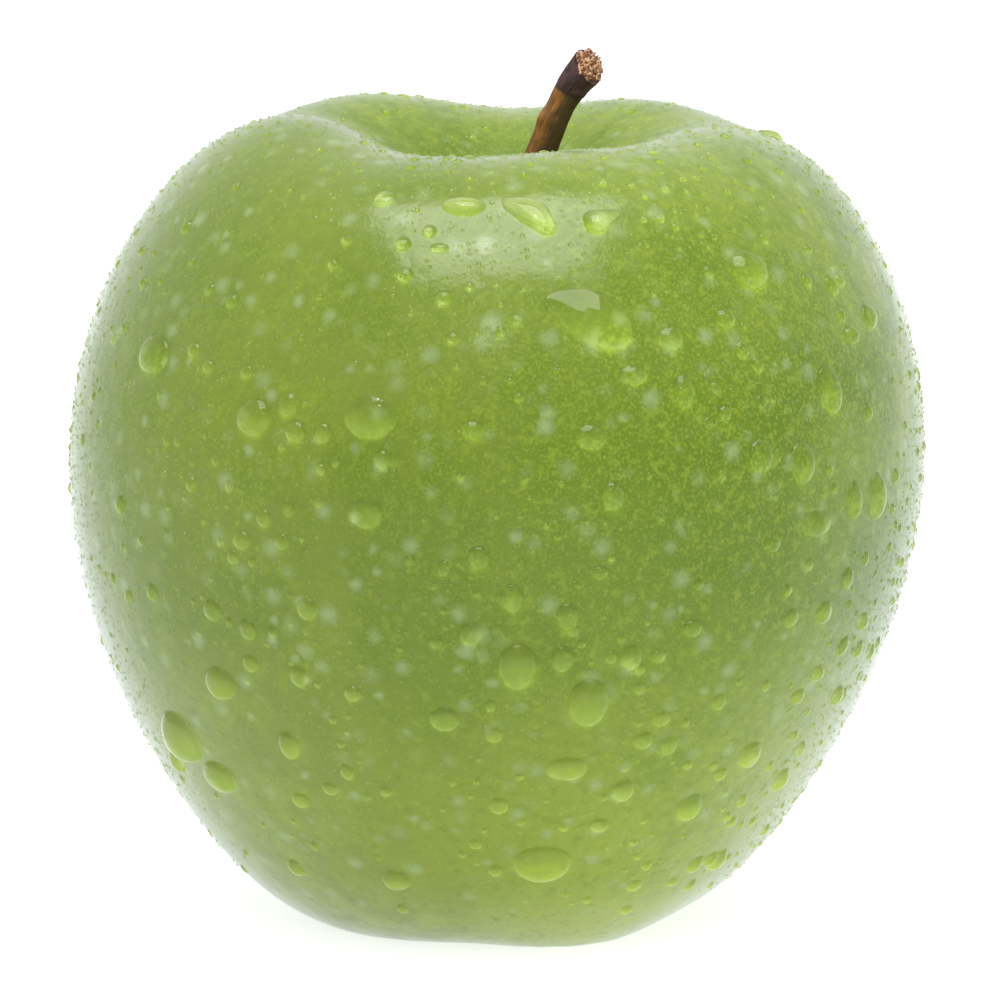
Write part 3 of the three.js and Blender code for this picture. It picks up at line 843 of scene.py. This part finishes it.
def stem_material():
    material, net = material_named("stem_bark")
    spot = shaded_spot(net)
    share = attribute(net, "share")
    angle = net.times(attribute(net, "turn"), math.tau)
    fibre = net.noise(net.on_ring(angle, 1.6, net.times(share, 5.0)), 2.6, 5.0)
    blotch = net.noise(spot, 0.8, 4.0)
    bark = blend(net, net.ramp(fibre, 0.36, 0.66), STEM_BROWN, STEM_AMBER)
    bark = blend(net, net.ramp(blotch, 0.42, 0.62, 0.0, 0.8), bark, STEM_BROWN)
    # Painted shade on the side of the bark that faces STEM_SHADED, broken up by the blotches.
    shaded = net.plus(attribute(net, "side"), net.times(blotch, 0.8))
    bark = blend(net, net.ramp(shaded, 0.20, 0.90, 0.0, 0.9), bark, STEM_PAINTED_SHADE)
    edge = net.plus(share, net.times(blotch, 0.03))
    bark = blend(net, net.bell(edge, 0.877, 0.010), bark, STEM_DARK)
    ring = blend(net, net.ramp(blotch, 0.45, 0.60), STEM_COLLAR, STEM_DARK)
    bark = blend(net, net.ramp(edge, 0.878, 0.892), bark, ring)
    # Darker towards the foot, down in the stem cavity: painted shade.
    bark = blend(net, net.ramp(share, 0.16, 0.02, 0.0, 0.5), bark, STEM_DARK)
    pulp = blend(net, net.ramp(net.noise(spot, 2.4, 3.0), 0.44, 0.60), STEM_GAP, STEM_TORN)
    bark = blend(net, attribute(net, "torn"), bark, pulp)
    height = net.plus(net.times(fibre, 0.6), net.times(blotch, 0.6))
    surface(net, Base_Color=bark, Roughness=0.55, Normal=relief(net, 0.7, 0.22, height),
            Specular_IOR_Level=0.35)
    return material


STEM = stem_material()
print("stem material:", len(STEM.node_tree.nodes), "nodes")

# %% [markdown]
# The stalk and each sepal start as a bent line that is swept with a closed outline. Thin five-sided
# cones make the fibres of the torn end and, later, the stamens.

# %% Helpers for swept shapes
def smooth_line(net, count):
    """The starting line as a smooth curve through its points, cut into even steps."""
    line = net.add("GeometryNodeMeshToCurve", {"Mesh": net.start})
    line = net.add("GeometryNodeCurveSplineType", {"Curve": line}, spline_type="CATMULL_ROM")
    return net.add("GeometryNodeResampleCurve", {"Curve": line, "Count": count})


def round_outline(net, count, radius):
    return net.add("GeometryNodeCurvePrimitiveCircle", {"Resolution": count, "Radius": radius})


def sweep(net, line, outline, **wires):
    wires = {"Curve": line, "Profile Curve": outline, **titled(wires)}
    return net.add("GeometryNodeCurveToMesh", wires)


def spike(net, steps, top, bottom, length):
    """A thin five-sided cone; its sizes are in rule millimetres."""
    wires = {"Vertices": 5, "Side Segments": steps, "Radius Top": top * MM,
             "Radius Bottom": bottom * MM, "Depth": length * MM}
    return net.add("GeometryNodeMeshCone", wires)


def ball(net, segments, rings, radius):
    wires = {"Segments": segments, "Rings": rings, "Radius": radius}
    return net.add("GeometryNodeMeshUVSphere", wires)


# %% The stem, swept along its bend
STEM_LINE = [(1.4, 0, 59.4), (2.0, 0, 62.9), (3.2, 0, 67.6), (4.8, 0, 72.2), (6.5, 0, 76.2),
             (7.8, 0, 78.4), (9.2, 0, 80.1)]
STEM_RADII = [(0.0, 1.75), (0.2, 1.62), (0.4, 1.5), (0.62, 1.4), (0.8, 1.28), (0.9, 1.45), (1.0, 1.62)]
STEM_SHADED = (0.94, -0.30, -0.15)        # the side of the bark that gets painted shade
SCAR_FACES = (-0.86, -0.5, 0.1)           # the side with the bud scar
TIP_FACES = compass(290)                  # the torn end looks this way, towards -Y


def stem_tree(stalk):
    tip, before = stalk.data.vertices[-1].co, stalk.data.vertices[-2].co
    net = Shaper("Stalk", rings=110, sides=56, tip=tip.copy(), heading=(tip - before).normalized(),
                 facing=Vector(TIP_FACES), ridge=0.075 * MM, grain=0.09 * MM,
                 scar_rise=0.34 * MM, collar_step=0.07 * MM, break_slope=0.62,
                 tip_radius=1.5 * MM, seed=3, material=STEM)
    line = smooth_line(net, net.rings)
    share = net.add("GeometryNodeSplineParameter")
    line = net.store(line, "share", share)
    line = net.store(line, "middle", net.position, "FLOAT_VECTOR")
    radius = 0.0
    for (s0, r0), (s1, r1) in zip(STEM_RADII, STEM_RADII[1:]):
        wires = {"Value": share, "From Min": s0, "From Max": s1, "To Min": 0.0, "To Max": (r1 - r0) * MM}
        radius = net.plus(radius, net.add("ShaderNodeMapRange", wires))
    radius = net.plus(radius, STEM_RADII[0][1] * MM)
    line = net.add("GeometryNodeSetCurveRadius", {"Curve": line, "Radius": radius})
    circle = net.store(round_outline(net, net.sides, 1.0), "turn", net.add("GeometryNodeSplineParameter"))
    rod = sweep(net, line, circle, scale=radius, fill_caps=True)

    share, turn, middle = net.stored("share"), net.stored("turn"), net.stored("middle", "FLOAT_VECTOR")
    outward = net.vector("NORMALIZE", net.vector("SUBTRACT", net.position, middle))
    angle = net.times(turn, math.tau)
    twisted = net.math("MULTIPLY_ADD", share, 3.5, net.times(angle, 3.0))
    ridges = net.times(net.math("COSINE", twisted), net.ridge)
    fibres = net.noise(net.on_ring(angle, 3.0, net.times(share, 2.5)), 2.4, 5.0)
    fibres = net.times(net.minus(fibres, 0.5), net.grain, 4.0)
    near_scar = net.math("MAXIMUM", net.dot(outward, SCAR_FACES), 0.0)
    scar = net.times(net.bell(share, 0.72, 0.035), net.math("POWER", near_scar, 5.0), net.scar_rise)
    collar = net.ramp(net.plus(share, net.times(net.math("COSINE", angle), 0.015)),
                      0.870, 0.885, 0.0, net.collar_step)
    lift = net.plus(ridges, fibres, net.plus(scar, collar))
    rod = net.move(rod, offset=net.stretch(outward, lift))
    # How far the bark faces STEM_SHADED, for its painted shade.
    rod = net.store(rod, "side", net.dot(outward, STEM_SHADED))

    pith = net.place(ball(net, 32, 20, net.tip_radius), translation=net.tip,
                     rotation=upright(net, net.heading), scale=(1.0, 1.0, 0.34))
    pith = net.move(pith, offset=net.stretch(net.shake(1.1 / MM, 4.0), 1.3 * MM))
    upper = net.math("GREATER_THAN", net.dot(net.normal, net.heading), 0.25)
    points = scatter(net, pith, 0.22 * MM, 26 / MM ** 2, selection=upper)
    stray = pick(net, (-0.75, -0.75, -0.75), (0.75, 0.75, 0.75))
    grow = upright(net, net.vector("ADD", net.heading, stray))
    length = net.join(1.0, 1.0, pick(net, 0.25, 0.75))
    strand = spike(net, 3, 0.07, 0.20, 0.9)
    strands = net.real(net.instances(points, strand, rotation=grow, scale=length))
    end = net.store(net.merge(strands, pith), "torn", 1.0)
    end = net.store(end, "share", 1.0)
    aside = net.dot(net.vector("SUBTRACT", net.position, net.tip), net.facing)
    slant = net.times(aside, net.break_slope, net.ramp(net.stored("share"), 0.86, 1.0, 0.0, -1.0))
    net.finish(net.move(net.merge(end, rod), offset=net.stretch(net.heading, slant)), net.material)
    return net


stem = line_object("stem_stalk", [(CORE + Vector(p)) * MM for p in STEM_LINE])
run(stem_tree(stem), stem, STEM)
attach(stem, "root")
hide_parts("stem")

# %% [markdown]
# ## The calyx
# Under the fruit, deep in the eye, sit the dried remains of the flower: a short tube, five curled
# sepals and a tuft of stamens. One sepal is a flat strip swept along its curl; the tree sets five of
# them round the tube and a ring of bent threads inside it.

# %% Calyx material
CALYX_DARK = paint(66, 50, 32)
CALYX_BROWN = paint(128, 108, 70)
CALYX_PALE = paint(170, 156, 118)


def calyx_material():
    material, net = material_named("dry_flower")
    spot = shaded_spot(net)
    wide = net.noise(spot, 0.9, 3.0)
    fine = net.noise(spot, 5.0, 3.0)
    brown = blend(net, net.ramp(wide, 0.38, 0.62), CALYX_DARK, CALYX_BROWN)
    brown = blend(net, net.ramp(fine, 0.5, 0.7, 0.0, 0.5), brown, CALYX_PALE)
    surface(net, Base_Color=brown, Roughness=0.86, Normal=relief(net, 0.7, 0.1, fine),
            Specular_IOR_Level=0.2)
    return material


CALYX = calyx_material()
print("calyx material:", len(CALYX.node_tree.nodes), "nodes")

# %% The calyx, five sepals round a tube
EYE_HEIGHT = 7.0
SEPALS = 5
STAMENS = 15
SEPAL_LINE = [(1.6, 0.3), (1.85, -0.8), (1.45, -2.2), (1.9, -3.4), (3.3, -4.1), (4.6, -3.5)]


def calyx_tree():
    net = Shaper("Calyx", eye=(CORE + Vector((0, 0, EYE_HEIGHT))) * MM, sepals=SEPALS, first_turn=0.35,
                 rows=28, width=1.35 * MM, thickness=0.28 * MM, crumple=0.5 * MM, stamens=STAMENS,
                 tube_radius=2.5 * MM, wall=0.35 * MM, seed=5, material=CALYX)
    line = smooth_line(net, net.rows)
    share = net.add("GeometryNodeSplineParameter")
    point = net.minus(1.0, net.times(net.math("POWER", share, 1.6), 0.85))
    blade = net.place(round_outline(net, 18, 1.0), scale=net.join(net.thickness, net.width, 1.0))
    sepal = sweep(net, line, blade, scale=point, fill_caps=True)

    spot = net.add("GeometryNodeMeshCircle", {"Vertices": net.sepals, "Radius": 0.0})
    turn = net.math("MULTIPLY_ADD", net.add("GeometryNodeInputIndex"), math.tau / SEPALS, net.first_turn)
    wires = {"Angle": net.plus(turn, pick(net, -0.10, 0.10))}
    spin = net.add("FunctionNodeAxisAngleToRotation", wires)
    leaves = net.instances(spot, sepal, rotation=spin)

    ring = net.add("GeometryNodeMeshCircle", {"Vertices": net.stamens, "Radius": 1.15 * MM})
    turn = net.times(net.add("GeometryNodeInputIndex"), math.tau / STAMENS)
    stray = pick(net, (-0.28, -0.28, 0.0), (0.28, 0.28, 0.0))
    aim = upright(net, net.vector("ADD", net.on_ring(turn, 0.1, -1.0), stray))
    length = net.join(1.0, 1.0, pick(net, 0.6, 0.95))
    thread = spike(net, 6, 0.10, 0.16, 3.0)
    threads = net.instances(ring, thread, rotation=aim, scale=length)
    threads = net.place(threads, translation=(0.0, 0.0, 1.2 * MM))

    rim = round_outline(net, 48, net.minus(net.tube_radius, net.wall))
    wall = net.place(round_outline(net, 12, 1.0), scale=net.join(net.wall, 1.5 * MM, 1.0))
    tube = net.place(sweep(net, rim, wall), translation=(0.0, 0.0, 1.05 * MM))
    bed = net.place(ball(net, 32, 12, net.tube_radius), translation=(0.0, 0.0, 1.9 * MM),
                    scale=(0.92, 0.92, 0.3))

    whole = net.real(net.merge(leaves, threads, tube, bed))
    whole = net.move(whole, offset=net.stretch(net.shake(0.55 / MM, 3.0), net.crumple))
    net.finish(net.place(whole, translation=net.eye), net.material)
    return net


calyx = line_object("calyx_flower", [(out * MM, 0.0, up * MM) for out, up in SEPAL_LINE])
run(calyx_tree(), calyx, CALYX)
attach(calyx, "root")
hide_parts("calyx")

# %% [markdown]
# The patterns that were stamped on the skin have done their work, and go.

# %% Clearing up
for pattern in PATTERNS:
    bpy.data.objects.remove(pattern)

# %% [markdown]
# ## The studio
# A light table, a bright even surround and a wide soft box overhead. The table glows a little from
# below, so even the fruit's foot stays light. The surround gives the skin its white rims, because a
# waxy surface mirrors most at a grazing angle; the box gives the one broad highlight on the
# shoulder. Two small boxes add the sparks in the drops.

# %% Floor and light
FLOOR_REACH = 4.0             # metres each way
FLOOR_GREY = (0.55, 0.555, 0.555, 1.0)
FLOOR_GLOW = (0.97, 0.99, 1.0, 1.0)
AIR = (0.96, 0.98, 1.0, 1.0)


def floor_material():
    material, net = material_named("studio_floor")
    surface(net, Base_Color=FLOOR_GREY, Roughness=0.9, Specular_IOR_Level=0.0,
            Emission_Color=FLOOR_GLOW, Emission_Strength=0.75)
    return material


corners = [(x * FLOOR_REACH, y * FLOOR_REACH, 0) for x, y in ((-1, -1), (1, -1), (1, 1), (-1, 1))]
floor = object_from("studio_floor", corners, (), [(0, 1, 2, 3)])
floor.data.materials.append(floor_material())

world = bpy.data.worlds.new("studio_air")
world.use_nodes = True
air = world.node_tree.nodes["Background"].inputs
air["Color"].default_value = AIR
air["Strength"].default_value = 1.0
bpy.context.scene.world = world


def soft_box(name, place, aim, width, depth, radiance):
    lamp = bpy.data.lights.new(name, "AREA")
    lamp.shape = "RECTANGLE"
    lamp.size, lamp.size_y = width, depth
    lamp.energy = radiance * math.pi * width * depth
    made = in_scene(name, lamp)
    made.location = place
    made.rotation_euler = (Vector(aim) - Vector(place)).to_track_quat("-Z", "Y").to_euler()


MIDDLE = Vector((0.22 * MM, 0, 39 * MM))
soft_box("soft_box_above", (-0.02, -0.20, 0.89), (-0.02, -0.20, 0.0), 0.68, 0.70, 5.8)
soft_box("soft_box_spark", (-0.08, -0.30, 0.82), MIDDLE, 0.06, 0.03, 34.0)
soft_box("soft_box_glint", (-0.05, -0.60, 0.52), MIDDLE, 0.04, 0.04, 26.0)

# %% [markdown]
# The camera looks along +Y and a little down, through a long lens, so the apple fills the picture.

# %% Camera
CAMERA_ELEVATION = math.radians(10)
CAMERA_DISTANCE = 600 * MM
SENSOR = 36.0
FOCAL_LENGTH = 228.96

away = Vector((0, -math.cos(CAMERA_ELEVATION), math.sin(CAMERA_ELEVATION)))
camera_data = bpy.data.cameras.new("studio_camera")
camera_data.sensor_width = SENSOR
camera_data.lens = FOCAL_LENGTH
camera = in_scene("studio_camera", camera_data)
camera.location = MIDDLE + away * CAMERA_DISTANCE
camera.rotation_euler = away.to_track_quat("Z", "Y").to_euler()
bpy.context.scene.camera = camera
bpy.context.scene.view_settings.view_transform = "Standard"
print("camera at", tuple(round(v, 3) for v in camera.location))
